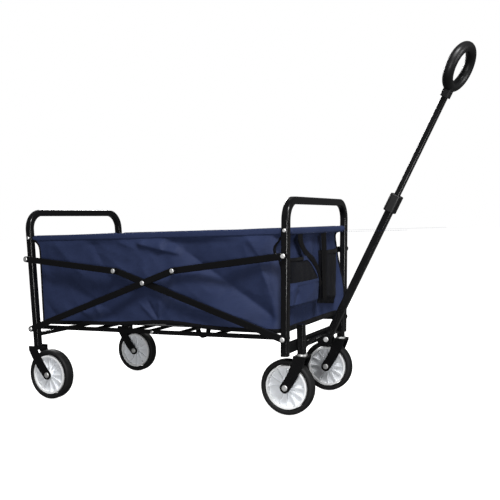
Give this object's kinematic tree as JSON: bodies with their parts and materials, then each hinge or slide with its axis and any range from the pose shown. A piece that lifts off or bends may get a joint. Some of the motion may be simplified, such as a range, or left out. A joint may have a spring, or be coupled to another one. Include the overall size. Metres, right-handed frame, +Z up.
{
  "type": "folding camp wagon",
  "caption": "Folding camp wagon: navy cloth basket in a black scissor frame, swivelling front casters and a telescoping pull handle.",
  "frame": {"origin": "on the floor, under the middle of the whole length with the handle pulled out", "axes": "+X forward along the wagon towards the handle, +Y left, +Z up"},
  "size_m": [1.2999, 0.4994, 0.9474],
  "materials": {
    "black_frame": "gloss powder coat",
    "rivet_steel": "zinc plated",
    "wheel_plastic": "moulded satin",
    "tyre_rubber": "fine tread",
    "black_plastic": "satin moulded",
    "navy_cloth": "coated polyester weave",
    "black_cloth": "polyester weave",
    "black_webbing": "flat webbing",
    "base_board": "cloth covered board"
  },
  "bodies": {
    "wagon_rear": {"rear_frame": "black_frame", "rear_crossbar": "black_frame", "rear_spacer_bushes": "black_plastic", "rear_frame_rivets": "rivet_steel", "rear_right_fork": "black_frame", "rear_left_fork": "black_frame", "rear_axles": "rivet_steel", "basket_rear_panel": "navy_cloth", "basket_right_panel": "navy_cloth", "basket_left_panel": "navy_cloth", "basket_floor": "black_cloth"},
    "rear_long_arms": {"long_arm_rear_right": "black_frame", "long_arm_rear_left": "black_frame", "rear_arm_rivets": "rivet_steel"},
    "front_long_arms": {"long_arm_front_right": "black_frame", "long_arm_front_left": "black_frame", "front_arm_rivets": "rivet_steel"},
    "front_short_arms": {"short_arm_front_right": "black_frame", "short_arm_front_left": "black_frame", "front_upper_rivets": "rivet_steel"},
    "rear_short_arms": {"short_arm_rear_right": "black_frame", "short_arm_rear_left": "black_frame", "rear_upper_rivets": "rivet_steel"},
    "wagon_front": {"front_frame": "black_frame", "front_post_plugs": "black_plastic", "front_crossbeam": "black_frame", "caster_sleeves": "black_frame", "caster_braces": "black_frame", "front_frame_rivets": "rivet_steel", "basket_front_panel": "navy_cloth", "front_pocket": "navy_cloth", "front_cup_pocket": "black_cloth", "handle_bracket": "black_frame", "handle_pivot_bolt": "rivet_steel"},
    "rear_floor": {"rear_floor_frame": "black_frame"},
    "front_floor": {"front_floor_frame": "black_frame", "front_rail_studs": "rivet_steel", "pull_strap": "black_webbing"},
    "rear_board": {"rear_base_board": "base_board"},
    "front_board": {"front_base_board": "base_board"},
    "right_caster": {"right_caster_fork": "black_frame", "right_caster_pins": "rivet_steel"},
    "left_caster": {"left_caster_fork": "black_frame", "left_caster_pins": "rivet_steel"},
    "rear_right_wheel": {"rear_right_tyre": "tyre_rubber", "rear_right_wheel_disc": "wheel_plastic"},
    "rear_left_wheel": {"rear_left_tyre": "tyre_rubber", "rear_left_wheel_disc": "wheel_plastic"},
    "front_right_wheel": {"front_right_tyre": "tyre_rubber", "front_right_wheel_disc": "wheel_plastic"},
    "front_left_wheel": {"front_left_tyre": "tyre_rubber", "front_left_wheel_disc": "wheel_plastic"},
    "handle_lower": {"handle_lower_tube": "black_frame", "handle_collar": "black_plastic"},
    "handle_upper": {"handle_upper_tube": "black_frame", "handle_glide": "black_plastic", "handle_grip": "black_plastic"}
  },
  "joints": [
    {"name": "fold", "type": "hinge", "parent": "wagon_rear", "child": "rear_long_arms", "pos_m": [-0.6251, 0, 0.214], "axis": [0, -1, 0], "range_deg": [0, 56.51], "deforming": ["basket_left_panel", "basket_right_panel", "basket_floor"]},
    {"name": "arm_crossing", "type": "hinge", "parent": "rear_long_arms", "child": "front_long_arms", "pos_m": [-0.2101, 0, 0.3555], "axis": [0, -1, 0], "range_deg": [-113.03, 0]},
    {"name": "front_lower_pivot", "type": "hinge", "parent": "front_long_arms", "child": "wagon_front", "pos_m": [0.2049, 0, 0.214], "axis": [0, -1, 0], "range_deg": [0, 56.52]},
    {"name": "front_elbow", "type": "hinge", "parent": "rear_long_arms", "child": "front_short_arms", "pos_m": [-0.11195, 0, 0.38897], "axis": [0, -1, 0], "range_deg": [-136.28, 0]},
    {"name": "rear_elbow", "type": "hinge", "parent": "front_long_arms", "child": "rear_short_arms", "pos_m": [-0.30825, 0, 0.38897], "axis": [0, -1, 0], "range_deg": [0, 136.28]},
    {"name": "rear_floor_hinge", "type": "hinge", "parent": "wagon_rear", "child": "rear_floor", "pos_m": [-0.6251, 0, 0.214], "axis": [0, -1, 0], "range_deg": [0, 74.5]},
    {"name": "front_floor_hinge", "type": "hinge", "parent": "wagon_front", "child": "front_floor", "pos_m": [0.2049, 0, 0.214], "axis": [0, -1, 0], "range_deg": [-74.5, 0], "deforming": ["pull_strap"]},
    {"name": "rear_board_hinge", "type": "hinge", "parent": "wagon_rear", "child": "rear_board", "pos_m": [-0.5901, 0, 0.236], "axis": [0, -1, 0], "range_deg": [0, 88.01]},
    {"name": "front_board_hinge", "type": "hinge", "parent": "wagon_front", "child": "front_board", "pos_m": [0.1799, 0, 0.236], "axis": [0, -1, 0], "range_deg": [-88.01, 0]},
    {"name": "right_caster_swivel", "type": "hinge", "parent": "wagon_front", "child": "right_caster", "pos_m": [0.2209, -0.1515, 0.165], "axis": [0, 0, 1], "continuous": true},
    {"name": "left_caster_swivel", "type": "hinge", "parent": "wagon_front", "child": "left_caster", "pos_m": [0.2209, 0.1515, 0.165], "axis": [0, 0, 1], "continuous": true},
    {"name": "rear_right_wheel_spin", "type": "hinge", "parent": "wagon_rear", "child": "rear_right_wheel", "pos_m": [-0.5731, -0.22, 0.0755], "axis": [0, 1, 0], "continuous": true},
    {"name": "rear_left_wheel_spin", "type": "hinge", "parent": "wagon_rear", "child": "rear_left_wheel", "pos_m": [-0.5731, 0.22, 0.0755], "axis": [0, 1, 0], "continuous": true},
    {"name": "front_right_wheel_spin", "type": "hinge", "parent": "right_caster", "child": "front_right_wheel", "pos_m": [0.1779, -0.1515, 0.0755], "axis": [0, 1, 0], "continuous": true},
    {"name": "front_left_wheel_spin", "type": "hinge", "parent": "left_caster", "child": "front_left_wheel", "pos_m": [0.1779, 0.1515, 0.0755], "axis": [0, 1, 0], "continuous": true},
    {"name": "handle_pivot", "type": "hinge", "parent": "wagon_front", "child": "handle_lower", "pos_m": [0.2359, 0, 0.1815], "axis": [0, -1, 0], "range_deg": [-67, 26]},
    {"name": "handle_slide", "type": "slide", "parent": "handle_lower", "child": "handle_upper", "axis": [0.4695, 0, 0.8829], "range_m": [-0.27, 0]}
  ],
  "couplings": [
    {"joint": "arm_crossing", "follows": "fold", "ratio": -2},
    {"joint": "front_lower_pivot", "follows": "fold", "ratio": 1},
    {"joint": "front_elbow", "follows": "fold", "ratio": -2.4116},
    {"joint": "rear_elbow", "follows": "fold", "ratio": 2.4116},
    {"joint": "rear_floor_hinge", "follows": "fold", "ratio": 1.3181},
    {"joint": "front_floor_hinge", "follows": "fold", "ratio": -1.3181},
    {"joint": "rear_board_hinge", "follows": "fold", "ratio": 1.5573},
    {"joint": "front_board_hinge", "follows": "fold", "ratio": -1.5573}
  ]
}
